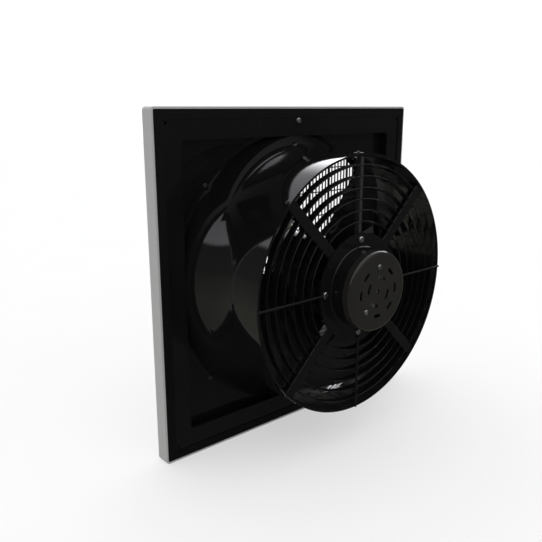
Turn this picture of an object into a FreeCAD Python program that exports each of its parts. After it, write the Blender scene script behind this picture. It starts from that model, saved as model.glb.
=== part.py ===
import FreeCAD, Part
import math
import os

# Exhaust hood fan: square flush panel, bell-mouth ring, wire guard and external-rotor motor.
# Frame: origin on the fan axis in the rear mounting plane (rim edge and border flange),
# +Y towards the motor side (air leaves that way), -Y towards the front grille, +Z up.
# Millimetres.

os.makedirs("parts", exist_ok=True)

V = FreeCAD.Vector
ORIGIN = V(0, 0, 0)
Y_AXIS = V(0, 1, 0)

# ---- driving dimensions -------------------------------------------------------------

PANEL = 500.0                 # outside of the square front frame
HALF = PANEL / 2
RIM_DEPTH = 22.0              # front frame, front face to rear edge
RIM_WALL = 3.0                # folded rim wall
FACE_T = 1.5                  # front frame face sheet
RIM_CORNER = 5.0

OPEN_X = 148.5                # half width of the front opening
OPEN_Z = 172.5                # half height of the front opening
OPEN_CORNER = 4.0
GRILLE_BORDER = 12.0          # grille frame band around the opening
WIRE_PITCH = 7.125            # vertical grille wires
WIRE_D = 2.2
WIRE_LAP = 2.5                # wires overlap the grille frame by this much
RIB_EVERY = 6                 # each sixth vertical is a flat rib
RIB_W = 3.4
CROSS_COUNT = 9               # horizontal wires
CROSS_D = 2.0
GRILLE_FRAME_T = 1.5
GRILLE_CORNER = 6.0
GRILLE_HOLE_R = 1.3
GRILLE_SCREW_SPREAD = 0.8     # the end screws stand at this share of the half width
FACE_BACK = -RIM_DEPTH + FACE_T
GRILLE_BACK = FACE_BACK + GRILLE_FRAME_T

SHEET = 1.2                   # base panel sheet
PANEL_FIT = 0.2               # gap between the base panel and the rim wall
PANEL_CORNER = 2.0
FLANGE_Y = 0.0                # rear face of the panel's border flange
RECESS = 207.0                # half size of the square recess
FLOOR_Y = -15.3               # rear face of the recess floor
FLOOR_HOLE_R = 205.5
RECESS_CORNER = 6.0
FIXING = 229.5                # fixing hole and frame screw offset from the axis
PANEL_HOLE_R = 2.1            # for a 4.8 mm self-tapping screw or an M4 screw
SEAL_T = 1.5
SEAL_W = 12.0
SEAL_INSET = 0.6              # clear of the rim's rounded inside corners
SPACER_HALF_X = 14.0          # blocks between the face sheet and the flange
SPACER_HALF_Z = 7.0
SPACER_SKIN = 3.0             # left solid at the bottom of the screw hole

DRUM_R = 187.5                # outside of the bell-mouth ring's straight part
DRUM_T = 1.5
DRUM_END_Y = 130.0
FLARE_END_Y = 78.0            # flare meets the straight part
FLARE_BEND_Y = 30.0           # the flare's bend ends here and a cone runs on to the floor
FLARE_ANGLE = 20.5            # half angle of the cone
VENTURI_FLANGE_R = 220.5
VENTURI_SCREW_X = 162.4
VENTURI_SCREW_Z = 143.8
VENTURI_FIT = 0.1             # gap between the ring's flange and the recess walls

GUARD_FRONT = 120.0           # the guard's rings are thin strips set edge-on to the air
GUARD_BACK = 132.0
GUARD_STRIP = 1.4             # thickness of a ring
GUARD_RING_R = (173.0, 157.2, 141.5, 125.8, 110.0, 94.3)
OUTER_RING_R0 = 185.3         # flat outer ring on the drum's edge
OUTER_RING_R1 = 188.4
ARM_WIDTH = 16.0              # box-section arms between the ring strips
ARM_DEPTH = 10.4
ARM_WALL = 1.2
ARM_EDGE = 1.5
ARM_INNER_X = 71.5
ARM_ANGLES = (45.0, 135.0, 225.0, 315.0)
ROD_D = 3.0
ROD_INNER_R = 74.0
ROD_REACH = 188.0             # rods end on the outer ring
ROD_ANGLES = (0.0, 180.0, 270.0)
FOOT_Y = GUARD_FRONT + ARM_DEPTH / 2   # foot screw, in line with the arm's bore
FOOT_OUT = 185.6
FOOT_T = 1.5
FOOT_DEPTH = 14.0
FOOT_HOLE_R = 1.8

PLATE_R = 78.0                # guard centre plate that carries the motor
PLATE_T = 3.0
PLATE_Y = GUARD_BACK          # rear face of the centre plate
PLATE_BORE = 22.0
PLATE_FIT = 0.1               # gap round the plate in the arms' notches
MOUNT_SCREW_R = 68.5          # four screws hold the motor to the plate
MOUNT_HOLE_R = 2.5

HOUSING_R = 58.0              # rear motor housing and its cap
HOUSING_END_Y = 154.0
CAP_END_Y = 168.0
HOUSING_T = 2.0
HOUSING_FOOT = 2.0            # concave fillet where the housing meets the plate
HOUSING_LEDGE = 8.0           # inward ledge that stiffens the housing on the plate
LEDGE_T = 3.0
POST_R = 4.0                  # posts and bosses for the cap screws
POST_HOLE_R = 1.6
POST_GAP = 0.1                # posts stop just short of the cap
POST_FLOOR = 6.0
WEB_HALF = 1.2
CAP_EDGE = 6.0
CAP_T = 3.0
CAP_WALL = 7.0
CAP_MOUTH = 4.0               # depth of the wider mouth inside the cap
SLOT_OUTER_R = 35.5           # two circles of slots
SLOT_OUTER_SPAN = 14.0        # degrees
SLOT_OUTER_STEP = 45.0
SLOT_INNER_R = 20.4
SLOT_INNER_SPAN = 28.0
SLOT_INNER_START = 20.0
SLOT_W = 5.0
SLOT_TOOL = 10.0              # depth of the tool that cuts a slot
CAP_CENTRE_R = 2.8
CAP_SCREW_ANGLES = (90.0, 315.0)   # two cap screws sit in the outer slot circle

FLANGE_FRONT = 114.0          # stator flange
FLANGE_BACK = PLATE_Y - PLATE_T
STATOR_FLANGE_R = 66.0
FLANGE_RIM = 6.0
FLANGE_WEB = 5.0              # the web is set back from the rim's front by this much
RIB_TIP_R = 71.0
RIB_HALF = 1.3
RIB_SHORT = 4.0               # ribs stop this far in front of the flange's rear face
RIB_COUNT = 40
RIB_CLEAR = 6.0               # degrees left free each side of the cable gland
EAR_R = 6.5
EAR_T = 2.2
GLAND_SEAT = 6.0              # half width of the flat seat for the cable gland
WIRE_HOLE_R = 5.0             # holes that pass the windings' leads into the rear housing
WIRE_HOLE_CIRCLE = 38.0
WIRE_HOLE_ANGLES = (60.0, 300.0)

BELL_R = 60.0                 # rotor bell
BELL_T = 3.0
BELL_Y0 = 4.0
BELL_Y1 = 112.0
BELL_EDGE = 2.5
BELL_HOLE_R = 1.7
NOSE_R = 12.0                 # boss that carries the shaft in the bell
NOSE_GAP = 2.0
HUB_R = 65.0                  # impeller hub cup pressed over the bell
HUB_Y0 = 1.0
HUB_Y1 = 110.0
HUB_EDGE = 3.0
HUB_BORE = 30.0
HUB_SCREW_R = 45.0
HUB_HOLE_R = 1.8
TIP_R = 181.0
BLADES = 5
BLADE_T = 2.4
BLADE_REAR_Y = 101.0          # trailing edge
BLADE_FRONT_Y = 5.0           # leading edge
BLADE_BELLY = 2.5             # the blade bows towards the rear by this much
TIP_CORNER = 12.0

SHAFT_R = 6.0                 # 6201-size ball bearings, 12 x 32 x 10
BEARING_R = 16.0
BEARING_W = 10.0
BALL_R = 2.1
BALL_CIRCLE = 11.05
BALLS = 8
RUN_GAP = 0.05
WASHER_T = 1.5
WASHER_R0 = 13.3
WASHER_R1 = 15.8
CLIP_FRONT = 116.2            # circlip groove in the shaft
CLIP_BACK = 117.4
CLIP_SIDE = 0.05
CLIP_DEPTH = 0.6
CLIP_RISE = 1.8
CLIP_MOUTH = 1.2
SHAFT_END = 120.0
SHAFT_NOSE = 2.0              # the shaft stands this far in front of the bell
FRONT_BEARING_Y = 12.0
REAR_BEARING_Y = 106.0

CORE_R = 48.0
CORE_Y0 = 28.0
CORE_Y1 = 92.0
TUBE_R = 19.5
TUBE_BORE = 13.0
CAGE_R0 = 48.5
CAGE_LAP = 4.0                # the cage is longer than the core by this much at each end
COIL_COUNT = 12
COIL_CIRCLE = 38.0
COIL_SLOT_R = 4.2
COIL_R = 4.0
COIL_MOUTH = 1.1
END_TURN_R0 = 30.0
END_TURN_R1 = 45.0
END_TURN = 8.0

CABLE_R = 2.5                 # supply lead at 12 o'clock, through notches in the rings
CABLE_Y = 122.5
CABLE_END = 190.5
GLAND_R = 3.6
GLAND_L = 5.5
GLAND_Z = STATOR_FLANGE_R + 0.05
COVER_HALF = 2.7              # flat cover over the lead
COVER_T = 1.5
COVER_BACK = 130.0
COVER_FIT = 0.1
GROMMET_HOLE_R = 5.0
GROMMET_FIT = 0.1
GROMMET_LIP_R = 6.4
GROMMET_LIP_T = 1.3
CAPACITOR_R = 8.0
CAPACITOR_L = 36.0
BLOCK_T = 12.0                # terminal block
BLOCK_HALF_Z = 14.0
BLOCK_HALF_X = 8.0
BLOCK_X = -34.0
BLOCK_PITCH = 9.0
BLOCK_HOLE_R = 2.2

# screws: head radius, head height, shank radius, length under the head
GRILLE_SCREW = (3.0, 1.6, 1.2, GRILLE_FRAME_T + FACE_T)
FRAME_SCREW = (4.2, 2.2, 2.0, 12.0)
VENTURI_SCREW = (3.2, 2.0, 2.0, 2.5)
FOOT_SCREW = (3.4, 1.8, 1.7, 6.0)
MOUNT_SCREW = (4.6, 2.8, 2.4, PLATE_T + EAR_T - 0.2)
CAP_SCREW = (3.6, 1.8, 1.5, 20.0)
HUB_SCREW = (3.0, 1.6, 1.7, 5.5)
HEAD_ROUND = 0.6              # shares of a screw head's height and radius
CROSS_DEPTH = 0.5
CROSS_REACH = 0.55
CROSS_HALF = 0.11

THROUGH = 5.0                 # cutting tools reach this far past a sheet
TINY = 0.001


# ---- helpers ------------------------------------------------------------------------

def at(angle, radius, y):
    """Point at an angle (from +X towards +Z), a radius from the fan axis, and y."""
    a = math.radians(angle)
    return V(radius * math.cos(a), y, radius * math.sin(a))


def disc(radius, y0, y1, centre_x=0.0, centre_z=0.0):
    """Cylinder along Y from y0 to y1."""
    return Part.makeCylinder(radius, y1 - y0, V(centre_x, y0, centre_z), Y_AXIS)


def ring(r_in, r_out, y0, y1):
    """Annular cylinder about the fan axis."""
    return disc(r_out, y0, y1).cut(disc(r_in, y0 - 1, y1 + 1))


def rod(start, end, diameter):
    """Round rod between two points."""
    run = end.sub(start)
    return Part.makeCylinder(diameter / 2, run.Length, start, run)


def block(x0, x1, y0, y1, z0, z1):
    return Part.makeBox(x1 - x0, y1 - y0, z1 - z0, V(x0, y0, z0))


def plate(half_x, half_z, corner, y0, y1):
    """Rectangular plate centred on the axis with rounded corners."""
    body = block(-half_x, half_x, y0, y1, -half_z, half_z)
    along_y = []
    for edge in body.Edges:
        start = edge.Vertexes[0].Point
        end = edge.Vertexes[-1].Point
        if abs(start.x - end.x) < TINY and abs(start.z - end.z) < TINY:
            along_y.append(edge)
    return body.makeFillet(corner, along_y)


def turned(profile):
    """Solid of revolution about Y from closed edges drawn in the XY plane (x is radius)."""
    face = Part.Face(Part.Wire(Part.__sortEdges__(profile)))
    return face.revolve(ORIGIN, Y_AXIS, 360)


def line(r0, y0, r1, y1):
    return Part.makeLine(V(r0, y0, 0), V(r1, y1, 0))


def spun(shape, angle):
    """Copy turned about the fan axis, in the same sense as at()."""
    copy = shape.copy()
    copy.rotate(ORIGIN, Y_AXIS, -angle)
    return copy


def moved(shape, x, y, z):
    copy = shape.copy()
    copy.translate(V(x, y, z))
    return copy


def flat_edges(body, y):
    """Edges of a body that lie in the plane at y."""
    return [e for e in body.Edges if abs(e.BoundBox.YMin - y) < TINY and e.BoundBox.YLength < TINY]


def screw(head_r, head_h, shank_r, length):
    """Pan-head screw along Y: head underside at y=0, head towards +Y, cross recess."""
    head = disc(head_r, 0, head_h)
    head = head.makeFillet(head_h * HEAD_ROUND, flat_edges(head, head_h))
    reach = head_r * CROSS_REACH
    half = head_r * CROSS_HALF
    groove = block(-reach, reach, head_h * CROSS_DEPTH, head_h + 1, -half, half)
    cross = groove.fuse(spun(groove, 90))
    shank = disc(shank_r, -length, 0)
    return head.fuse(shank).cut(cross).removeSplitter()


def corner_points(x, z):
    """The four points at plus and minus x and z."""
    return [(side * x, end * z) for side in (-1, 1) for end in (-1, 1)]


def save(name, shapes):
    """Write one node; a list becomes a group of separate solids."""
    if not isinstance(shapes, list):
        shapes = [shapes]
    solids = []
    for shape in shapes:
        solids.extend(shape.Solids)
    group = solids[0] if len(solids) == 1 else Part.makeCompound(solids)
    group.exportStep("parts/" + name + ".step")
    print(name, len(solids))


# ---- front frame and grille ---------------------------------------------------------

def front_frame():
    """Grey folded tray: rim walls and a face with the grille opening."""
    tray = plate(HALF, HALF, RIM_CORNER, -RIM_DEPTH, 0)
    inner = plate(HALF - RIM_WALL, HALF - RIM_WALL, RIM_CORNER - RIM_WALL, -RIM_DEPTH + FACE_T, 1)
    opening = plate(OPEN_X, OPEN_Z, OPEN_CORNER, -RIM_DEPTH - 1, 0)
    tray = tray.cut(inner).cut(opening)
    for x, z in grille_screw_points():
        tray = tray.cut(disc(GRILLE_HOLE_R, -RIM_DEPTH - 1, 0, x, z))
    return tray


def grille_screw_points():
    """Six screws round the grille frame."""
    x = OPEN_X + GRILLE_BORDER / 2
    z = OPEN_Z + GRILLE_BORDER / 2
    return [(-x, 0), (x, 0)] + corner_points(x * GRILLE_SCREW_SPREAD, z)


def grille_frame():
    outer = plate(OPEN_X + GRILLE_BORDER, OPEN_Z + GRILLE_BORDER, GRILLE_CORNER, FACE_BACK, GRILLE_BACK)
    inner = plate(OPEN_X, OPEN_Z, OPEN_CORNER, FACE_BACK - 1, GRILLE_BACK + 1)
    band = outer.cut(inner)
    for x, z in grille_screw_points():
        band = band.cut(disc(GRILLE_HOLE_R, FACE_BACK - 1, 0, x, z))
    return band


def grille_positions(ribs):
    """X of the vertical wires (or of the flat ribs) symmetric about the axis."""
    last = int((OPEN_X - RIB_W) / WIRE_PITCH)
    found = []
    for step in range(-last, last + 1):
        if (step % RIB_EVERY == 0) == ribs:
            found.append(step * WIRE_PITCH)
    return found


def grille_wires():
    reach = OPEN_Z + WIRE_LAP
    y = GRILLE_BACK + WIRE_D / 2
    return [rod(V(x, y, -reach), V(x, y, reach), WIRE_D) for x in grille_positions(False)]


def grille_ribs():
    reach = OPEN_Z + WIRE_LAP
    half = RIB_W / 2
    return [block(x - half, x + half, GRILLE_BACK, GRILLE_BACK + WIRE_D, -reach, reach)
            for x in grille_positions(True)]


def grille_cross_wires():
    y = GRILLE_BACK - CROSS_D / 2
    pitch = 2 * OPEN_Z / CROSS_COUNT
    wires = []
    for index in range(CROSS_COUNT):
        z = -OPEN_Z + (index + 0.5) * pitch
        wires.append(rod(V(-OPEN_X, y, z), V(OPEN_X, y, z), CROSS_D))
    return wires


def grille_screws():
    """Flat low heads on the grille frame's rear face, shanks forward into the face sheet."""
    one = screw(*GRILLE_SCREW)
    return [moved(one, x, GRILLE_BACK, z) for x, z in grille_screw_points()]


# ---- base panel ---------------------------------------------------------------------

def base_panel():
    """Black pressed sheet: border flange, square recess and floor with the air hole."""
    half = HALF - RIM_WALL - PANEL_FIT
    sheet = plate(half, half, PANEL_CORNER, FLANGE_Y - SHEET, FLANGE_Y)
    tub = plate(RECESS + SHEET, RECESS + SHEET, RECESS_CORNER + SHEET, FLOOR_Y - SHEET, FLANGE_Y)
    hollow = plate(RECESS, RECESS, RECESS_CORNER, FLOOR_Y, FLANGE_Y + 1)
    sheet = sheet.fuse(tub).cut(hollow)
    sheet = sheet.cut(disc(FLOOR_HOLE_R, FLOOR_Y - THROUGH, THROUGH))
    flange_holes = corner_points(FIXING, FIXING) + [(0, -FIXING), (0, FIXING)]
    for x, z in flange_holes:
        sheet = sheet.cut(disc(PANEL_HOLE_R, FLANGE_Y - THROUGH, THROUGH, x, z))
    for x, z in corner_points(VENTURI_SCREW_X, VENTURI_SCREW_Z):
        sheet = sheet.cut(disc(PANEL_HOLE_R, FLOOR_Y - THROUGH, THROUGH, x, z))
    return sheet.removeSplitter()


def panel_seal():
    """Foam strips on the flange's outer band, mitred at the corners."""
    out = HALF - RIM_WALL - PANEL_FIT - SEAL_INSET
    inner = out - SEAL_W
    strip_face = Part.Face(Part.makePolygon([
        V(-out, FLANGE_Y, out), V(out, FLANGE_Y, out),
        V(inner, FLANGE_Y, inner), V(-inner, FLANGE_Y, inner),
        V(-out, FLANGE_Y, out)]))
    strip = strip_face.extrude(V(0, SEAL_T, 0))
    return [spun(strip, quarter * 90) for quarter in range(4)]


def frame_spacers():
    """Blocks behind the flange that take the two frame screws."""
    spacers = []
    for z in (-FIXING, FIXING):
        body = block(
            -SPACER_HALF_X, SPACER_HALF_X,
            FACE_BACK, FLANGE_Y - SHEET,
            z - SPACER_HALF_Z, z + SPACER_HALF_Z)
        spacers.append(body.cut(disc(FRAME_SCREW[2], FACE_BACK + SPACER_SKIN, THROUGH, 0, z)))
    return spacers


def frame_screws():
    one = screw(*FRAME_SCREW)
    return [moved(one, 0, FLANGE_Y, z) for z in (-FIXING, FIXING)]


# ---- bell-mouth ring ----------------------------------------------------------------

def venturi_ring():
    """Flange on the recess floor, cone, bend, then the straight drum to the guard."""
    flange_back = FLOOR_Y + DRUM_T
    tilt = math.radians(FLARE_ANGLE)
    outer_bend = (FLARE_END_Y - FLARE_BEND_Y) / math.sin(tilt)
    centre_r = DRUM_R + outer_bend

    def bend_point(bend, angle):
        return V(centre_r - bend * math.cos(angle), FLARE_END_Y - bend * math.sin(angle), 0)

    def bend_arc(bend):
        return Part.Arc(bend_point(bend, 0), bend_point(bend, tilt / 2), bend_point(bend, tilt)).toShape()

    def cone_foot(bend, y):
        start = bend_point(bend, tilt)
        return V(start.x + (start.y - y) * math.tan(tilt), y, 0)

    inner_bend = outer_bend + DRUM_T
    inner_r = DRUM_R - DRUM_T
    outer_foot = cone_foot(outer_bend, flange_back)
    inner_foot = cone_foot(inner_bend, FLOOR_Y)
    profile = [
        line(inner_foot.x, FLOOR_Y, VENTURI_FLANGE_R, FLOOR_Y),
        line(VENTURI_FLANGE_R, FLOOR_Y, VENTURI_FLANGE_R, flange_back),
        line(VENTURI_FLANGE_R, flange_back, outer_foot.x, flange_back),
        Part.makeLine(outer_foot, bend_point(outer_bend, tilt)),
        bend_arc(outer_bend),
        line(DRUM_R, FLARE_END_Y, DRUM_R, DRUM_END_Y),
        line(DRUM_R, DRUM_END_Y, inner_r, DRUM_END_Y),
        line(inner_r, DRUM_END_Y, inner_r, FLARE_END_Y),
        bend_arc(inner_bend),
        Part.makeLine(bend_point(inner_bend, tilt), inner_foot),
    ]
    solid = turned(profile)
    # the flange is trimmed flat where it meets the recess walls
    keep = RECESS - VENTURI_FIT
    solid = solid.common(plate(keep, keep, RECESS_CORNER, FLOOR_Y - 1, DRUM_END_Y + 1))
    for x, z in corner_points(VENTURI_SCREW_X, VENTURI_SCREW_Z):
        solid = solid.cut(disc(PANEL_HOLE_R, FLOOR_Y - 1, flange_back + 1, x, z))
    for angle in ARM_ANGLES:
        solid = solid.cut(foot_hole(angle))
    return solid.cut(grommet_hole())


def venturi_screws():
    one = screw(*VENTURI_SCREW)
    return [moved(one, x, FLOOR_Y + DRUM_T, z) for x, z in corner_points(VENTURI_SCREW_X, VENTURI_SCREW_Z)]


# ---- rear guard ---------------------------------------------------------------------

def outer_ring():
    return ring(OUTER_RING_R0, OUTER_RING_R1, DRUM_END_Y, GUARD_BACK)


def strip_ring(radius):
    """Thin ring with rounded front and rear edges."""
    half = GUARD_STRIP / 2
    front = GUARD_FRONT + half
    back = GUARD_BACK - half
    return turned([
        line(radius - half, front, radius - half, back),
        Part.Arc(V(radius - half, back, 0), V(radius, GUARD_BACK, 0), V(radius + half, back, 0)).toShape(),
        line(radius + half, back, radius + half, front),
        Part.Arc(V(radius + half, front, 0), V(radius, GUARD_FRONT, 0), V(radius - half, front, 0)).toShape(),
    ])


def guard_rings():
    """Each ring is four strips welded between the arms; the top strips are notched for the cable."""
    half = ARM_WIDTH / 2
    gap = block(0, DRUM_R, GUARD_FRONT - 1, GUARD_BACK + 1, -half, half)
    tools = [spun(gap, angle) for angle in ARM_ANGLES]
    notch_half = COVER_HALF + COVER_FIT
    tools.append(block(-notch_half, notch_half, GUARD_FRONT - 1, COVER_BACK, 0, DRUM_R))
    strips = []
    for radius in GUARD_RING_R:
        strips.extend(strip_ring(radius).cut(tools).Solids)
    return strips


def guard_arm():
    """Box-section bar along +X with a notch that takes the centre plate's edge."""
    half = ARM_WIDTH / 2
    end_x = FOOT_OUT - FOOT_T
    back = GUARD_FRONT + ARM_DEPTH
    bar = block(ARM_INNER_X, end_x, GUARD_FRONT, back, -half, half)
    long_edges = [e for e in bar.Edges if e.BoundBox.XLength > ARM_WIDTH]
    bar = bar.makeFillet(ARM_EDGE, long_edges)
    bore = block(
        ARM_INNER_X - 1, end_x + 1,
        GUARD_FRONT + ARM_WALL, back - ARM_WALL,
        -half + ARM_WALL, half - ARM_WALL)
    notch = disc(PLATE_R + PLATE_FIT, PLATE_Y - PLATE_T, back + 1)
    return bar.cut(bore).cut(notch)


def guard_rods():
    """Thin radial rods on the rear side of the rings."""
    y = GUARD_BACK + ROD_D / 2
    return [rod(at(angle, ROD_INNER_R, y), at(angle, ROD_REACH, y), ROD_D) for angle in ROD_ANGLES]


def guard_foot():
    """Small plate that closes the end of an arm along +X and is screwed to the drum."""
    half = ARM_WIDTH / 2
    lug = block(FOOT_OUT - FOOT_T, FOOT_OUT, DRUM_END_Y - FOOT_DEPTH, DRUM_END_Y, -half, half)
    return lug.cut(foot_hole(0.0))


def foot_hole(angle):
    start = V(FOOT_OUT - 3 * THROUGH, FOOT_Y, 0)
    return spun(Part.makeCylinder(FOOT_HOLE_R, 6 * THROUGH, start, V(1, 0, 0)), angle)


def foot_screw():
    """Screw along +X through the drum wall into the foot, head outside the drum."""
    one = screw(*FOOT_SCREW)
    one.rotate(ORIGIN, V(0, 0, 1), -90)
    one.translate(V(DRUM_R, FOOT_Y, 0))
    return one


def centre_plate():
    """Disc welded on the arms' inner ends; it carries the motor."""
    body = ring(PLATE_BORE, PLATE_R, PLATE_Y - PLATE_T, PLATE_Y)
    for quarter in range(4):
        point = at(quarter * 90, MOUNT_SCREW_R, 0)
        body = body.cut(disc(MOUNT_HOLE_R, PLATE_Y - PLATE_T - 1, PLATE_Y + 1, point.x, point.z))
    return body


# ---- motor, fixed side --------------------------------------------------------------

def stator_flange():
    """Cast flange with short cooling ribs round its edge."""
    body = ring(TUBE_R, STATOR_FLANGE_R, FLANGE_FRONT + FLANGE_WEB, FLANGE_BACK)
    body = body.fuse(ring(STATOR_FLANGE_R - FLANGE_RIM, STATOR_FLANGE_R, FLANGE_FRONT, FLANGE_BACK))
    rib = block(STATOR_FLANGE_R - 1, RIB_TIP_R, FLANGE_FRONT, FLANGE_BACK - RIB_SHORT, -RIB_HALF, RIB_HALF)
    angles = [(index + 0.5) * 360.0 / RIB_COUNT for index in range(RIB_COUNT)]
    body = body.multiFuse([spun(rib, angle) for angle in angles if abs(angle - 90.0) > RIB_CLEAR])
    ear = disc(EAR_R, FLANGE_BACK - EAR_T, FLANGE_BACK, MOUNT_SCREW_R, 0)
    body = body.multiFuse([spun(ear, quarter * 90) for quarter in range(4)])
    seat = block(-GLAND_SEAT, GLAND_SEAT, CABLE_Y - 4, CABLE_Y + 4, BELL_R + 2, STATOR_FLANGE_R)
    body = body.fuse(seat)
    for quarter in range(4):
        point = at(quarter * 90, MOUNT_SCREW_R, 0)
        body = body.cut(disc(MOUNT_HOLE_R, FLANGE_BACK - EAR_T - 1, FLANGE_BACK + 1, point.x, point.z))
    for angle in WIRE_HOLE_ANGLES:
        point = at(angle, WIRE_HOLE_CIRCLE, 0)
        body = body.cut(disc(WIRE_HOLE_R, FLANGE_FRONT, FLANGE_BACK + 1, point.x, point.z))
    return body.removeSplitter()


def mount_screws():
    one = moved(screw(*MOUNT_SCREW), MOUNT_SCREW_R, PLATE_Y, 0)
    return [spun(one, quarter * 90) for quarter in range(4)]


def rear_housing():
    """Short cup between the centre plate and the end cap."""
    centre = V(HOUSING_R + HOUSING_FOOT, PLATE_Y + HOUSING_FOOT, 0)
    swing = HOUSING_FOOT * math.sqrt(0.5)
    fillet = Part.Arc(
        V(HOUSING_R + HOUSING_FOOT, PLATE_Y, 0),
        centre.sub(V(swing, swing, 0)),
        V(HOUSING_R, PLATE_Y + HOUSING_FOOT, 0)).toShape()
    inner = HOUSING_R - HOUSING_T
    shell = turned([
        line(inner, PLATE_Y, HOUSING_R + HOUSING_FOOT, PLATE_Y),
        fillet,
        line(HOUSING_R, PLATE_Y + HOUSING_FOOT, HOUSING_R, HOUSING_END_Y),
        line(HOUSING_R, HOUSING_END_Y, inner, HOUSING_END_Y),
        line(inner, HOUSING_END_Y, inner, PLATE_Y),
    ])
    shell = shell.fuse(ring(HOUSING_R - HOUSING_LEDGE, inner, PLATE_Y, PLATE_Y + LEDGE_T))
    post_top = HOUSING_END_Y - POST_GAP
    web = block(SLOT_OUTER_R + POST_R - 1, HOUSING_R - 1, PLATE_Y, post_top, -WEB_HALF, WEB_HALF)
    for angle in CAP_SCREW_ANGLES:
        point = at(angle, SLOT_OUTER_R, 0)
        post = disc(POST_R, PLATE_Y, post_top, point.x, point.z)
        post = post.cut(disc(POST_HOLE_R, PLATE_Y + POST_FLOOR, HOUSING_END_Y, point.x, point.z))
        shell = shell.fuse(post).fuse(spun(web, angle))
    return shell.removeSplitter()


def slot(radius, span, width):
    """Arc slot centred on +X with round ends, cut deep along Y."""
    front = CAP_END_Y - SLOT_TOOL
    back = CAP_END_Y + 1
    band = ring(radius - width / 2, radius + width / 2, front, back)
    wedge_points = [ORIGIN, at(-span / 2, 2 * radius, 0), at(span / 2, 2 * radius, 0), ORIGIN]
    wedge = Part.Face(Part.makePolygon(wedge_points)).extrude(V(0, back, 0))
    shape = band.common(wedge)
    for end in (-span / 2, span / 2):
        point = at(end, radius, 0)
        shape = shape.fuse(disc(width / 2, front, back, point.x, point.z))
    return shape


def end_cap():
    """Round-edged cap with two circles of arc slots."""
    cap = disc(HOUSING_R, HOUSING_END_Y, CAP_END_Y)
    cap = cap.makeFillet(CAP_EDGE, flat_edges(cap, CAP_END_Y))
    cap = cap.cut(disc(HOUSING_R - CAP_WALL, HOUSING_END_Y - 1, CAP_END_Y - CAP_T))
    cap = cap.cut(disc(HOUSING_R - HOUSING_T, HOUSING_END_Y - 1, HOUSING_END_Y + CAP_MOUTH))
    outer_slot = slot(SLOT_OUTER_R, SLOT_OUTER_SPAN, SLOT_W)
    for station in range(8):
        angle = station * SLOT_OUTER_STEP
        if angle not in CAP_SCREW_ANGLES:
            cap = cap.cut(spun(outer_slot, angle))
    inner_slot = slot(SLOT_INNER_R, SLOT_INNER_SPAN, SLOT_W)
    for station in range(4):
        cap = cap.cut(spun(inner_slot, SLOT_INNER_START + station * 90.0))
    cap = cap.cut(disc(CAP_CENTRE_R, CAP_END_Y - SLOT_TOOL, CAP_END_Y + 1))
    for angle in CAP_SCREW_ANGLES:
        point = at(angle, SLOT_OUTER_R, 0)
        boss = disc(POST_R, HOUSING_END_Y, CAP_END_Y - 2, point.x, point.z)
        cap = cap.fuse(boss).cut(disc(POST_HOLE_R, HOUSING_END_Y - 1, CAP_END_Y + 1, point.x, point.z))
    return cap.removeSplitter()


def cap_screws():
    one = moved(screw(*CAP_SCREW), SLOT_OUTER_R, CAP_END_Y, 0)
    return [spun(one, angle) for angle in CAP_SCREW_ANGLES]


def bearing_tube():
    """Tube that carries the stator core outside and the two bearings inside."""
    front = FRONT_BEARING_Y - 1
    tube = ring(TUBE_BORE, TUBE_R, front, FLANGE_BACK)
    tube = tube.cut(disc(BEARING_R, front - 1, FRONT_BEARING_Y + BEARING_W))
    return tube.cut(disc(BEARING_R, REAR_BEARING_Y - WASHER_T, FLANGE_BACK + 1))


def core_slots():
    """Winding slots near the outside of the core, open to the air gap."""
    hole = disc(COIL_SLOT_R, CORE_Y0 - 1, CORE_Y1 + 1, COIL_CIRCLE, 0)
    mouth = block(COIL_CIRCLE, CORE_R + 1, CORE_Y0 - 1, CORE_Y1 + 1, -COIL_MOUTH, COIL_MOUTH)
    cutter = hole.fuse(mouth)
    return [spun(cutter, index * 360.0 / COIL_COUNT) for index in range(COIL_COUNT)]


def stator_core():
    return ring(TUBE_R, CORE_R, CORE_Y0, CORE_Y1).cut(core_slots())


def stator_windings():
    """Copper: a bundle through each slot and an end turn each side of the core."""
    bundle = disc(COIL_R, CORE_Y0, CORE_Y1, COIL_CIRCLE, 0)
    coils = [spun(bundle, index * 360.0 / COIL_COUNT) for index in range(COIL_COUNT)]
    front = ring(END_TURN_R0, END_TURN_R1, CORE_Y0 - END_TURN, CORE_Y0)
    rear = ring(END_TURN_R0, END_TURN_R1, CORE_Y1, CORE_Y1 + END_TURN)
    return front.multiFuse(coils + [rear]).removeSplitter()


def bearing_outer_rings():
    return [ring(BALL_CIRCLE + BALL_R + RUN_GAP, BEARING_R, y, y + BEARING_W)
            for y in (FRONT_BEARING_Y, REAR_BEARING_Y)]


def spring_washer():
    """Preload washer between the tube's shoulder and the rear bearing."""
    return ring(WASHER_R0, WASHER_R1, REAR_BEARING_Y - WASHER_T, REAR_BEARING_Y)


# ---- motor, turning side ------------------------------------------------------------

def rotor_bell():
    bell = ring(BELL_R - BELL_T, BELL_R, BELL_Y0, BELL_Y1)
    bell = bell.fuse(ring(SHAFT_R, BELL_R, BELL_Y0, BELL_Y0 + BELL_T))
    bell = bell.fuse(ring(SHAFT_R, NOSE_R, BELL_Y0, FRONT_BEARING_Y - NOSE_GAP))
    for index in range(BLADES):
        point = at(index * 360.0 / BLADES, HUB_SCREW_R, 0)
        bell = bell.cut(disc(BELL_HOLE_R, BELL_Y0 - 1, BELL_Y0 + BELL_T + 1, point.x, point.z))
    bell = bell.removeSplitter()
    outer = [e for e in flat_edges(bell, BELL_Y0) if abs(e.BoundBox.XMax - BELL_R) < 0.1]
    return bell.makeFillet(BELL_EDGE, outer)


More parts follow.
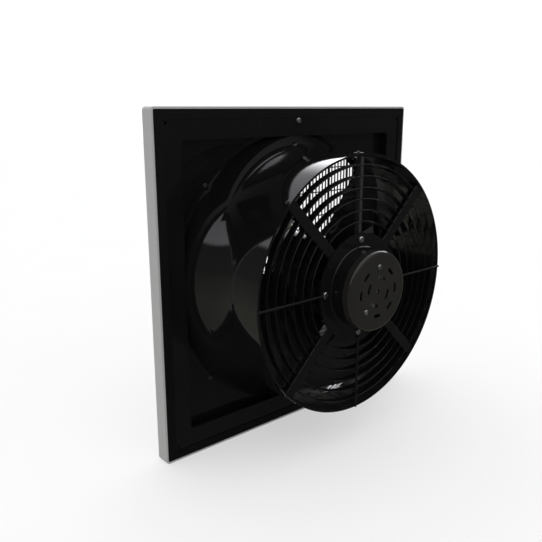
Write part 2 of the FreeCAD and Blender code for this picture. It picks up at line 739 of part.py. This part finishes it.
def rotor_cage():
    return ring(CAGE_R0, BELL_R - BELL_T, CORE_Y0 - CAGE_LAP, CORE_Y1 + CAGE_LAP)


def motor_shaft():
    shaft = disc(SHAFT_R, BELL_Y0 - SHAFT_NOSE, SHAFT_END)
    return shaft.cut(ring(SHAFT_R - CLIP_DEPTH, SHAFT_R + 1, CLIP_FRONT, CLIP_BACK))


def circlip():
    clip = ring(SHAFT_R - CLIP_DEPTH, SHAFT_R + CLIP_RISE, CLIP_FRONT + CLIP_SIDE, CLIP_BACK - 3 * CLIP_SIDE)
    return clip.cut(block(0, 2 * SHAFT_R, CLIP_FRONT - 1, CLIP_BACK + 1, -CLIP_MOUTH, CLIP_MOUTH))


def bearing_inner_rings():
    return [ring(SHAFT_R, BALL_CIRCLE - BALL_R - RUN_GAP, y, y + BEARING_W)
            for y in (FRONT_BEARING_Y, REAR_BEARING_Y)]


def bearing_balls():
    balls = []
    for y in (FRONT_BEARING_Y, REAR_BEARING_Y):
        for index in range(BALLS):
            centre = at(index * 360.0 / BALLS, BALL_CIRCLE, y + BEARING_W / 2)
            balls.append(Part.makeSphere(BALL_R, centre))
    return balls


def impeller_hub():
    """Cup over the rotor bell; the blades stand on its wall."""
    hub = disc(HUB_R, HUB_Y0, HUB_Y1)
    hub = hub.makeFillet(HUB_EDGE, flat_edges(hub, HUB_Y0))
    hub = hub.cut(disc(BELL_R, BELL_Y0, HUB_Y1 + 1)).cut(disc(HUB_BORE, HUB_Y0 - 1, HUB_Y1))
    for index in range(BLADES):
        point = at(index * 360.0 / BLADES, HUB_SCREW_R, 0)
        hub = hub.cut(disc(HUB_HOLE_R, HUB_Y0 - 1, BELL_Y0 + 1, point.x, point.z))
    return hub


# radius, angle of the trailing edge, angle the blade wraps round the axis
BLADE_STATIONS = (
    (55.0, 54.0, 91.0),
    (90.0, 69.0, 86.0),
    (125.0, 88.0, 75.0),
    (160.0, 96.0, 68.0),
    (192.0, 97.0, 68.0),
)
CHORD_STEPS = 8


def blade_row(radius, edge_angle, wrap):
    """Points from the trailing edge to the leading edge at one radius."""
    points = []
    for step in range(CHORD_STEPS + 1):
        share = step / CHORD_STEPS
        bow = BLADE_BELLY * 4 * share * (1 - share)
        y = BLADE_REAR_Y + (BLADE_FRONT_Y - BLADE_REAR_Y) * share + bow
        points.append(at(edge_angle + wrap * share, radius, y))
    return points


def blade():
    """One sickle blade: a twisted sheet, trimmed to the hub and to the tip circle."""
    surface = Part.BSplineSurface()
    surface.interpolate([blade_row(*station) for station in BLADE_STATIONS])
    body = surface.toShape().makeOffsetShape(BLADE_T, 0.01, False, False, 0, 0, True)
    if body.Volume < 0:
        body.reverse()
    body = Part.makeSolid(body.Shells[0]) if not body.Solids else body.Solids[0]
    front = BLADE_FRONT_Y - 4 * THROUGH
    back = BLADE_REAR_Y + 4 * THROUGH
    body = body.common(disc(TIP_R, front, back)).cut(disc(HUB_R, front, back)).Solids[0]
    return rounded_tip(body)


def rounded_tip(body):
    """Round the two outer corners of the blade."""
    corners = []
    for edge in body.Edges:
        radii = [math.hypot(v.X, v.Z) for v in edge.Vertexes]
        if min(radii) > TIP_R - 0.5 and edge.Length < 3 * BLADE_T:
            corners.append(edge)
    return body.makeFillet(TIP_CORNER, corners)


def blades():
    one = blade()
    return [spun(one, index * 360.0 / BLADES) for index in range(BLADES)]


def hub_screws():
    """Heads on the cup's front face, shanks back into the bell."""
    one = screw(*HUB_SCREW)
    one.rotate(ORIGIN, V(0, 0, 1), 180)
    one.translate(V(HUB_SCREW_R, HUB_Y0, 0))
    return [spun(one, index * 360.0 / BLADES) for index in range(BLADES)]


# ---- wiring -------------------------------------------------------------------------

def upright(radius, z0, z1):
    """Cylinder along Z on the cable's line."""
    return Part.makeCylinder(radius, z1 - z0, V(0, CABLE_Y, z0), V(0, 0, 1))


def grommet_hole():
    return upright(GROMMET_HOLE_R, DRUM_R - 2 * THROUGH, DRUM_R + 2 * THROUGH)


def cable_grommet():
    """Rubber grommet in the drum wall, with a lip each side."""
    inner = DRUM_R - DRUM_T
    body = upright(GROMMET_HOLE_R - GROMMET_FIT, inner - GROMMET_LIP_T, DRUM_R + GROMMET_LIP_T)
    lip_in = upright(GROMMET_LIP_R, inner - GROMMET_LIP_T, inner + DRUM_T / 2)
    lip_out = upright(GROMMET_LIP_R, DRUM_R - DRUM_T / 2, DRUM_R + GROMMET_LIP_T)
    bore = upright(CABLE_R, inner - THROUGH, DRUM_R + THROUGH)
    wall = ring(inner - 0.02, DRUM_R + 0.02, CABLE_Y - 2 * THROUGH, CABLE_Y + 2 * THROUGH).cut(grommet_hole())
    return body.fuse(lip_in).fuse(lip_out).cut(bore).cut(wall)


def cable_cover():
    """Flat strip in the rings' notches, from the centre plate to the drum wall."""
    foot = PLATE_R + 2 * PLATE_FIT
    top = DRUM_R - DRUM_T - GROMMET_LIP_T - 1
    return block(-COVER_HALF, COVER_HALF, COVER_BACK - COVER_T, COVER_BACK, foot, top)


def motor_cable():
    """Supply lead: out of the flange gland, behind the cover, through the drum wall."""
    return upright(CABLE_R, GLAND_Z, CABLE_END)


def cable_gland():
    return upright(GLAND_R, GLAND_Z, GLAND_Z + GLAND_L).cut(upright(CABLE_R, GLAND_Z - 1, GLAND_Z + GLAND_L + 1))


def run_capacitor():
    """Can lying on the centre plate under the cap."""
    start = V(-CAPACITOR_L / 2, PLATE_Y + CAPACITOR_R, -30)
    return Part.makeCylinder(CAPACITOR_R, CAPACITOR_L, start, V(1, 0, 0))


def terminal_block():
    back = PLATE_Y + BLOCK_T
    body = block(BLOCK_X - BLOCK_HALF_X, BLOCK_X + BLOCK_HALF_X, PLATE_Y, back, -BLOCK_HALF_Z, BLOCK_HALF_Z)
    for z in (-BLOCK_PITCH, 0, BLOCK_PITCH):
        body = body.cut(disc(BLOCK_HOLE_R, PLATE_Y + BLOCK_T / 2, back + 1, BLOCK_X, z))
    return body


# ---- build --------------------------------------------------------------------------

save("front_frame", front_frame())
save("front_grille_frame", grille_frame())
save("front_grille_wires", grille_wires())
save("front_grille_ribs", grille_ribs())
save("front_grille_cross_wires", grille_cross_wires())
save("front_grille_screws", grille_screws())
save("base_panel", base_panel())
save("panel_seal", panel_seal())
save("frame_spacers", frame_spacers())
save("frame_screws", frame_screws())
save("venturi_ring", venturi_ring())
save("venturi_screws", venturi_screws())
save("guard_outer_ring", outer_ring())
save("guard_rings", guard_rings())
save("guard_arms", [spun(guard_arm(), angle) for angle in ARM_ANGLES])
save("guard_radial_rods", guard_rods())
save("guard_feet", [spun(guard_foot(), angle) for angle in ARM_ANGLES])
save("guard_foot_screws", [spun(foot_screw(), angle) for angle in ARM_ANGLES])
save("guard_centre_plate", centre_plate())
save("stator_flange", stator_flange())
save("motor_mount_screws", mount_screws())
save("motor_rear_housing", rear_housing())
save("motor_end_cap", end_cap())
save("end_cap_screws", cap_screws())
save("bearing_tube", bearing_tube())
save("stator_core", stator_core())
save("stator_windings", stator_windings())
save("bearing_outer_rings", bearing_outer_rings())
save("preload_spring_washer", spring_washer())
save("rotor_bell", rotor_bell())
save("rotor_cage", rotor_cage())
save("motor_shaft", motor_shaft())
save("shaft_circlip", circlip())
save("bearing_inner_rings", bearing_inner_rings())
save("bearing_balls", bearing_balls())
save("impeller_hub", impeller_hub())
save("impeller_blades", blades())
save("impeller_hub_screws", hub_screws())
save("cable_grommet", cable_grommet())
save("cable_cover", cable_cover())
save("motor_cable", motor_cable())
save("cable_gland", cable_gland())
save("run_capacitor", run_capacitor())
save("terminal_block", terminal_block())
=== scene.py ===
import bpy
import math
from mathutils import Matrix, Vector


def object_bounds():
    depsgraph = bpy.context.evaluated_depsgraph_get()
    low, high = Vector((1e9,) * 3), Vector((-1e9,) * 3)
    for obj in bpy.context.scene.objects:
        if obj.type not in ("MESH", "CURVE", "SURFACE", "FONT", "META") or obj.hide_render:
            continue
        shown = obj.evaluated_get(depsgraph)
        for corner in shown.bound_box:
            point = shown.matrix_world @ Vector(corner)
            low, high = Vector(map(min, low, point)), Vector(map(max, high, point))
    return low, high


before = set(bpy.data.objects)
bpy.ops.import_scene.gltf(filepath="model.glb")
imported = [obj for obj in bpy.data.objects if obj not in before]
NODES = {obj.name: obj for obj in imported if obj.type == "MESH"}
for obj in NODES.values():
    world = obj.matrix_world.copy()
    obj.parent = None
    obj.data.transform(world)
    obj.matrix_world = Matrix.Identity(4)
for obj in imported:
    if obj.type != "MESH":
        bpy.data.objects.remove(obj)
CAD_LO, CAD_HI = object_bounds()

# ---- paint, and painted light on the duct -------------------------------------------

GLOSS_DARK = (0.0032, 0.0032, 0.0034)
GLOSS_LIGHT = (0.0046, 0.0046, 0.0050)
GLOSS_ROUGH = 0.05
GLOSS_PEEL = 0.02
GRAIN_SCALE = 260.0
GRAIN_DEPTH = 0.0006

# painted light on the duct's inner face: lighter streaky colours standing in for light falling inside the
# drum
PAINTED_LIGHT_LOW = (0.024, 0.024, 0.023)
PAINTED_LIGHT_HIGH = (0.16, 0.158, 0.150)
# normal times radial place, in metres: below this a face looks at the fan axis
FACES_AXIS = -0.05
# the painted light thins between these two depths along the fan axis, in metres
PAINTED_LIGHT_FULL_Y = 0.085
PAINTED_LIGHT_THIN_Y = 0.122
PAINTED_LIGHT_THIN = 0.1
INNER_STREAK_ROUGH = 0.05

# ---- studio -------------------------------------------------------------------------

FLOOR_REACH = 8.0
STUDIO_WHITE = 1.15

# what glossy surfaces see, by height of the direction: -1 straight down, 0 the horizon, 1 straight up
LOW_CARDS = (
    (-1.0, (0.20, 0.20, 0.17)),
    (-0.30, (0.25, 0.25, 0.21)),
    (-0.02, (0.15, 0.15, 0.13)),
    (0.0, (0.11, 0.11, 0.115)),
    (0.33, (0.09, 0.09, 0.095)),
)
FRONT_CARDS = LOW_CARDS + (
    (0.37, (1.3, 1.3, 1.36)),
    (1.0, (1.0, 1.0, 1.05)),
)
LEFT_CARDS = LOW_CARDS + (
    (0.37, (6.5, 6.5, 6.7)),
    (0.72, (4.0, 4.0, 4.1)),
    (1.0, (1.0, 1.0, 1.05)),
)
REAR_CARDS = (
    (-1.0, (0.06, 0.06, 0.055)),
    (-0.05, (0.05, 0.05, 0.045)),
    (0.0, (0.06, 0.06, 0.065)),
    (0.45, (0.075, 0.075, 0.08)),
    (0.62, (0.45, 0.45, 0.47)),
    (1.0, (1.0, 1.0, 1.05)),
)
# where one set of cards fades into the next, along one axis of the direction
FRONT_TO_LEFT_X = (-0.25, -0.58)
FRONT_TO_REAR_Y = (-0.2, 0.35)

# ---- camera -------------------------------------------------------------------------

CAMERA_PLACE = (0.6586, 0.7130, 0.2488)
CAMERA_YAW = 40.31
CAMERA_PITCH = 14.57
CAMERA_LENS = 41.84
CAMERA_SENSOR = 36.0
CAMERA_NEAR = 0.01
CAMERA_FAR = 50.0

# socket numbers of a Mix node that blends colours
MIX_A = 6
MIX_B = 7
MIX_OUT = 2


# ---- node helpers -------------------------------------------------------------------

def grey(tone):
    return (tone, tone, tone)


class NodeTree:
    """Short forms for adding nodes to one tree and linking them."""

    def __init__(self, tree):
        self.tree = tree

    def add(self, kind, **values):
        """Add a node. A value sets the input of that name, or else the node's own property."""
        node = self.tree.nodes.new(kind)
        for key, value in values.items():
            if key in node.inputs:
                node.inputs[key].default_value = value
            else:
                setattr(node, key, value)
        return node

    def link(self, source, socket, target, into):
        self.tree.links.new(source.outputs[socket], target.inputs[into])

    def ramp(self, source, socket, low, high, start=0.0, end=1.0):
        """Map a value between start and end to a value between low and high."""
        node = self.add("ShaderNodeMapRange")
        node.inputs["From Min"].default_value = start
        node.inputs["From Max"].default_value = end
        node.inputs["To Min"].default_value = low
        node.inputs["To Max"].default_value = high
        self.link(source, socket, node, "Value")
        return node

    def mix(self, factor, socket, first, first_socket, second, second_socket):
        """Blend two colours."""
        node = self.add("ShaderNodeMix", data_type="RGBA")
        self.link(factor, socket, node, "Factor")
        self.link(first, first_socket, node, MIX_A)
        self.link(second, second_socket, node, MIX_B)
        return node


class Shader(NodeTree):
    """One node material, built around its Principled BSDF."""

    def __init__(self, name):
        self.mat = bpy.data.materials.new(name)
        self.mat.use_nodes = True
        super().__init__(self.mat.node_tree)
        self.bsdf = self.tree.nodes["Principled BSDF"]
        self.output = self.tree.nodes["Material Output"]

    def set(self, **values):
        for key, value in values.items():
            self.bsdf.inputs[key.replace("_", " ")].default_value = value

    def noise(self, scale, detail=4.0, rough=0.5, stretch=(1.0, 1.0, 1.0)):
        coords = self.add("ShaderNodeTexCoord")
        mapping = self.add("ShaderNodeMapping", Scale=stretch)
        texture = self.add("ShaderNodeTexNoise", Scale=scale, Detail=detail, Roughness=rough)
        self.link(coords, "Object", mapping, "Vector")
        self.link(mapping, "Vector", texture, "Vector")
        return texture

    def colour_ramp(self, source, socket, dark, light, start=0.3, end=0.7):
        node = self.add("ShaderNodeValToRGB")
        first, last = node.color_ramp.elements
        first.position = start
        first.color = (*dark, 1.0)
        last.position = end
        last.color = (*light, 1.0)
        self.link(source, socket, node, "Fac")
        return node

    def colour(self, source, socket, dark, light, start=0.3, end=0.7):
        """Drive the base colour by a texture."""
        self.link(self.colour_ramp(source, socket, dark, light, start, end), "Color", self.bsdf, "Base Color")

    def roughness(self, source, low, high, start, end=0.7):
        """Drive the roughness by a noise."""
        self.link(self.ramp(source, "Fac", low, high, start, end), "Result", self.bsdf, "Roughness")

    def bump(self, source, socket, strength, distance):
        node = self.add("ShaderNodeBump", Strength=strength, Distance=distance)
        self.link(source, socket, node, "Height")
        self.link(node, "Normal", self.bsdf, "Normal")


# ---- materials ----------------------------------------------------------------------

def gloss_black(name, dark=GLOSS_DARK, light=GLOSS_LIGHT, rough=GLOSS_ROUGH, peel=GLOSS_PEEL):
    """Gloss paint: faint tone change, smears and orange peel."""
    s = Shader(name)
    s.colour(s.noise(9.0), "Fac", dark, light)
    s.roughness(s.noise(35.0, 5.0), rough * 0.7, rough * 1.6, 0.35)
    s.bump(s.noise(GRAIN_SCALE, 3.0), "Fac", peel, GRAIN_DEPTH)
    s.set(Specular_IOR_Level=0.5)
    return s.mat


def satin_black(name):
    """Satin paint on wires and small steel parts."""
    return gloss_black(name, grey(0.003), grey(0.006), 0.35, 0.05)


def cast_paint(name, dark, light):
    """Smooth enamel on a casting."""
    return gloss_black(name, dark, light, 0.12, 0.03)


def duct_black(name):
    """Gloss black ring. Faces that look at the fan axis get a lighter streaky colour, painted light standing
    in for light falling inside the drum, and streaky roughness.
    """
    s = Shader(name)
    lit_inside = painted_light_mask(s)
    streaks = s.noise(38.0, 6.0, 0.7, (1.0, 0.35, 1.0))
    paint = s.colour_ramp(s.noise(9.0), "Fac", GLOSS_DARK, GLOSS_LIGHT)
    painted_light = s.colour_ramp(streaks, "Fac", PAINTED_LIGHT_LOW, PAINTED_LIGHT_HIGH, 0.38, 0.68)
    # painted light: the lighter streaky colour is blended in on faces that look at the fan axis
    blend = s.mix(lit_inside, "Value", paint, "Color", painted_light, "Color")
    s.link(blend, MIX_OUT, s.bsdf, "Base Color")
    inner_rough = s.add("ShaderNodeMath", operation="MULTIPLY_ADD")
    s.link(lit_inside, "Value", inner_rough, 0)
    s.link(s.ramp(streaks, "Fac", 0.0, INNER_STREAK_ROUGH, 0.35, 0.7), "Result", inner_rough, 1)
    inner_rough.inputs[2].default_value = GLOSS_ROUGH
    s.link(inner_rough, "Value", s.bsdf, "Roughness")
    s.bump(s.noise(GRAIN_SCALE, 3.0), "Fac", GLOSS_PEEL, GRAIN_DEPTH)
    s.set(Specular_IOR_Level=0.5)
    return s.mat


def painted_light_mask(s):
    """Where light is painted on the duct: 1 on faces that look at the fan axis, fading towards the drum's
    rear edge, and 0 elsewhere.
    """
    geometry = s.add("ShaderNodeNewGeometry")
    radial = s.add("ShaderNodeVectorMath", operation="MULTIPLY")
    radial.inputs[1].default_value = (1.0, 0.0, 1.0)
    s.link(geometry, "Position", radial, 0)
    facing = s.add("ShaderNodeVectorMath", operation="DOT_PRODUCT")
    s.link(radial, "Vector", facing, 0)
    s.link(geometry, "Normal", facing, 1)
    inside = s.add("ShaderNodeMath", operation="LESS_THAN")
    s.link(facing, "Value", inside, 0)
    inside.inputs[1].default_value = FACES_AXIS
    depth = s.add("ShaderNodeSeparateXYZ")
    s.link(geometry, "Position", depth, "Vector")
    light_fade = s.ramp(depth, "Y", 1.0, PAINTED_LIGHT_THIN, PAINTED_LIGHT_FULL_Y, PAINTED_LIGHT_THIN_Y)
    mask = s.add("ShaderNodeMath", operation="MULTIPLY")
    s.link(inside, "Value", mask, 0)
    s.link(light_fade, "Result", mask, 1)
    return mask


def dipped_black(name):
    """Thick dipped paint on thin rods: soft, weak highlights."""
    s = Shader(name)
    drips = s.noise(60.0)
    s.colour(drips, "Fac", grey(0.004), grey(0.008))
    s.roughness(drips, 0.35, 0.6, 0.3)
    s.bump(drips, "Fac", 0.15, 0.0005)
    s.set(Specular_IOR_Level=0.18)
    return s.mat


def brushed(name, tone):
    """Grey metal brushed along X, under a clear matt film."""
    s = Shader(name)
    lines = s.noise(30.0, 8.0, 0.65, (1.0, 60.0, 60.0))
    s.colour(lines, "Fac", grey(tone * 0.9), grey(tone * 1.12))
    s.roughness(lines, 0.36, 0.5625, 0.3)
    s.bump(lines, "Fac", 0.08, 0.0004)
    s.set(Metallic=0.15)
    return s.mat


def plain(name, colour, rough, metallic=1.0):
    """Bare metal, rubber or plastic with a fine mottle."""
    s = Shader(name)
    tone = s.noise(120.0)
    dark = tuple(channel * 0.85 for channel in colour)
    light = tuple(min(1.0, channel * 1.1) for channel in colour)
    s.colour(tone, "Fac", dark, light)
    s.roughness(tone, rough * 0.8, rough * 1.3, 0.3)
    s.bump(tone, "Fac", 0.05, 0.0003)
    s.set(Metallic=metallic)
    return s.mat


def foam(name):
    """Black open-cell foam."""
    s = Shader(name)
    cells = s.add("ShaderNodeTexVoronoi", Scale=900.0)
    s.link(s.add("ShaderNodeTexCoord"), "Object", cells, "Vector")
    s.colour(cells, "Distance", grey(0.0012), grey(0.0032), 0.0, 0.8)
    s.bump(cells, "Distance", 0.5, 0.0008)
    s.set(Roughness=0.75, Specular_IOR_Level=0.2)
    return s.mat


MATERIALS = {
    "gloss": gloss_black("gloss_black"),
    "satin": satin_black("satin_black"),
    "dipped": dipped_black("dipped_black"),
    "duct": duct_black("duct_black"),
    "rim": brushed("frame_grey", 0.37),
    "strip": brushed("cover_grey", 0.025),
    "cap": cast_paint("cap_enamel", (0.0120, 0.0115, 0.0100), (0.0150, 0.0145, 0.0128)),
    "blade": cast_paint("blade_enamel", (0.009, 0.009, 0.0095), (0.016, 0.016, 0.017)),
    "dull": plain("dull_screw", grey(0.03), 0.4, 0.3),
    "chrome": plain("screw_steel", (0.75, 0.75, 0.77), 0.18),
    "steel": plain("ground_steel", (0.55, 0.55, 0.56), 0.25),
    "core": plain("lamination", (0.25, 0.25, 0.26), 0.5),
    "copper": plain("copper", (0.7, 0.3, 0.12), 0.35),
    "alu": plain("alu", (0.7, 0.7, 0.72), 0.35),
    "rubber": plain("rubber", grey(0.015), 0.6, 0.0),
    "plastic": plain("plastic", (0.6, 0.59, 0.55), 0.45, 0.0),
    "foam": foam("foam"),
}

# nodes that are neither screws in bright steel nor gloss black
FINISH = {
    "front_frame": "rim",
    "front_grille_frame": "satin",
    "front_grille_wires": "satin",
    "front_grille_ribs": "satin",
    "front_grille_cross_wires": "satin",
    "panel_seal": "foam",
    "frame_spacers": "satin",
    "cable_cover": "strip",
    "motor_end_cap": "cap",
    "guard_foot_screws": "satin",
    "guard_radial_rods": "dipped",
    "venturi_ring": "duct",
    "impeller_blades": "blade",
    "venturi_screws": "dull",
    "bearing_tube": "alu",
    "stator_core": "core",
    "rotor_cage": "core",
    "stator_windings": "copper",
    "cable_grommet": "rubber",
    "motor_cable": "rubber",
    "cable_gland": "rubber",
    "run_capacitor": "plastic",
    "terminal_block": "plastic",
    "preload_spring_washer": "steel",
    "shaft_circlip": "steel",
    "motor_shaft": "steel",
    "bearing_balls": "steel",
    "bearing_inner_rings": "steel",
    "bearing_outer_rings": "steel",
}


def paint_nodes():
    for name, obj in NODES.items():
        usual = "chrome" if name.endswith("_screws") else "gloss"
        obj.data.materials.clear()
        obj.data.materials.append(MATERIALS[FINISH.get(name, usual)])


# ---- floor, light and camera --------------------------------------------------------

def floor():
    """Pale floor under the lowest edge. Glossy surfaces see the cards below the horizon instead."""
    mesh = bpy.data.meshes.new("floor")
    reach = FLOOR_REACH
    corners = [(-reach, -reach, 0), (reach, -reach, 0), (reach, reach, 0), (-reach, reach, 0)]
    mesh.from_pydata(corners, [], [(0, 1, 2, 3)])
    obj = bpy.data.objects.new("floor", mesh)
    obj.location = (0, 0, CAD_LO.z)
    bpy.context.scene.collection.objects.link(obj)
    mesh.materials.append(floor_paint())
    obj.visible_glossy = False


def floor_paint():
    """Near-white paint, half of it self-lit so that shadows stay soft."""
    s = Shader("floor_paint")
    s.colour(s.noise(3.0), "Fac", grey(0.84), grey(0.86))
    s.set(Roughness=0.8)
    lift = s.add("ShaderNodeEmission", Strength=1.0)
    soften = s.add("ShaderNodeMixShader", Fac=0.5)
    s.link(s.bsdf, "BSDF", soften, 1)
    s.link(lift, "Emission", soften, 2)
    s.link(soften, "Shader", s.output, "Surface")
    return s.mat


def light():
    """White surroundings for the camera and for diffuse light, cards for reflections."""
    world = bpy.data.worlds.new("studio")
    world.use_nodes = True
    w = NodeTree(world.node_tree)
    white = world.node_tree.nodes["Background"]
    white.inputs["Color"].default_value = (1, 1, 1, 1)
    white.inputs["Strength"].default_value = STUDIO_WHITE
    cards = w.add("ShaderNodeBackground")
    w.link(reflection_cards(w), MIX_OUT, cards, "Color")
    path = w.add("ShaderNodeLightPath")
    choice = w.add("ShaderNodeMixShader")
    w.link(path, "Is Glossy Ray", choice, "Fac")
    w.link(white, "Background", choice, 1)
    w.link(cards, "Background", choice, 2)
    w.link(choice, "Shader", world.node_tree.nodes["World Output"], "Surface")
    bpy.context.scene.world = world


def reflection_cards(w):
    """Colour seen in a reflection: dim olive floor, grey wall and a bright soft box overhead."""
    direction = w.add("ShaderNodeSeparateXYZ")
    w.link(w.add("ShaderNodeTexCoord"), "Generated", direction, "Vector")
    height = w.ramp(direction, "Z", 0.0, 1.0, -1.0, 1.0)
    front = card_ramp(w, FRONT_CARDS, height)
    left = card_ramp(w, LEFT_CARDS, height)
    rear = card_ramp(w, REAR_CARDS, height)
    to_left = card_fade(w, direction, "X", FRONT_TO_LEFT_X)
    to_rear = card_fade(w, direction, "Y", FRONT_TO_REAR_Y)
    ahead = w.mix(to_left, "Result", front, "Color", left, "Color")
    return w.mix(to_rear, "Result", ahead, MIX_OUT, rear, "Color")


def card_ramp(w, stops, height):
    """Colours against the height of a direction."""
    ramp = w.add("ShaderNodeValToRGB")
    points = ramp.color_ramp.elements
    while len(points) < len(stops):
        points.new(0.5)
    for point, (level, colour) in zip(points, stops):
        point.position = (level + 1) / 2
        point.color = (*colour, 1.0)
    w.link(height, "Result", ramp, "Fac")
    return ramp


def card_fade(w, direction, axis, limits):
    """Smooth step from 0 to 1 along one axis of the direction."""
    fade = w.ramp(direction, axis, 0.0, 1.0, *limits)
    fade.interpolation_type = "SMOOTHSTEP"
    return fade


def camera():
    data = bpy.data.cameras.new("camera")
    data.sensor_width = CAMERA_SENSOR
    data.lens = CAMERA_LENS
    data.clip_start = CAMERA_NEAR
    data.clip_end = CAMERA_FAR
    obj = bpy.data.objects.new("camera", data)
    bpy.context.scene.collection.objects.link(obj)
    yaw = math.radians(CAMERA_YAW)
    pitch = math.radians(CAMERA_PITCH)
    level = math.cos(pitch)
    look = Vector((-math.sin(yaw) * level, -math.cos(yaw) * level, -math.sin(pitch)))
    obj.location = CAMERA_PLACE
    obj.rotation_mode = "QUATERNION"
    obj.rotation_quaternion = look.to_track_quat("-Z", "Y")
    bpy.context.scene.camera = obj


paint_nodes()
floor()
light()
camera()
bpy.context.scene.view_settings.view_transform = "Standard"
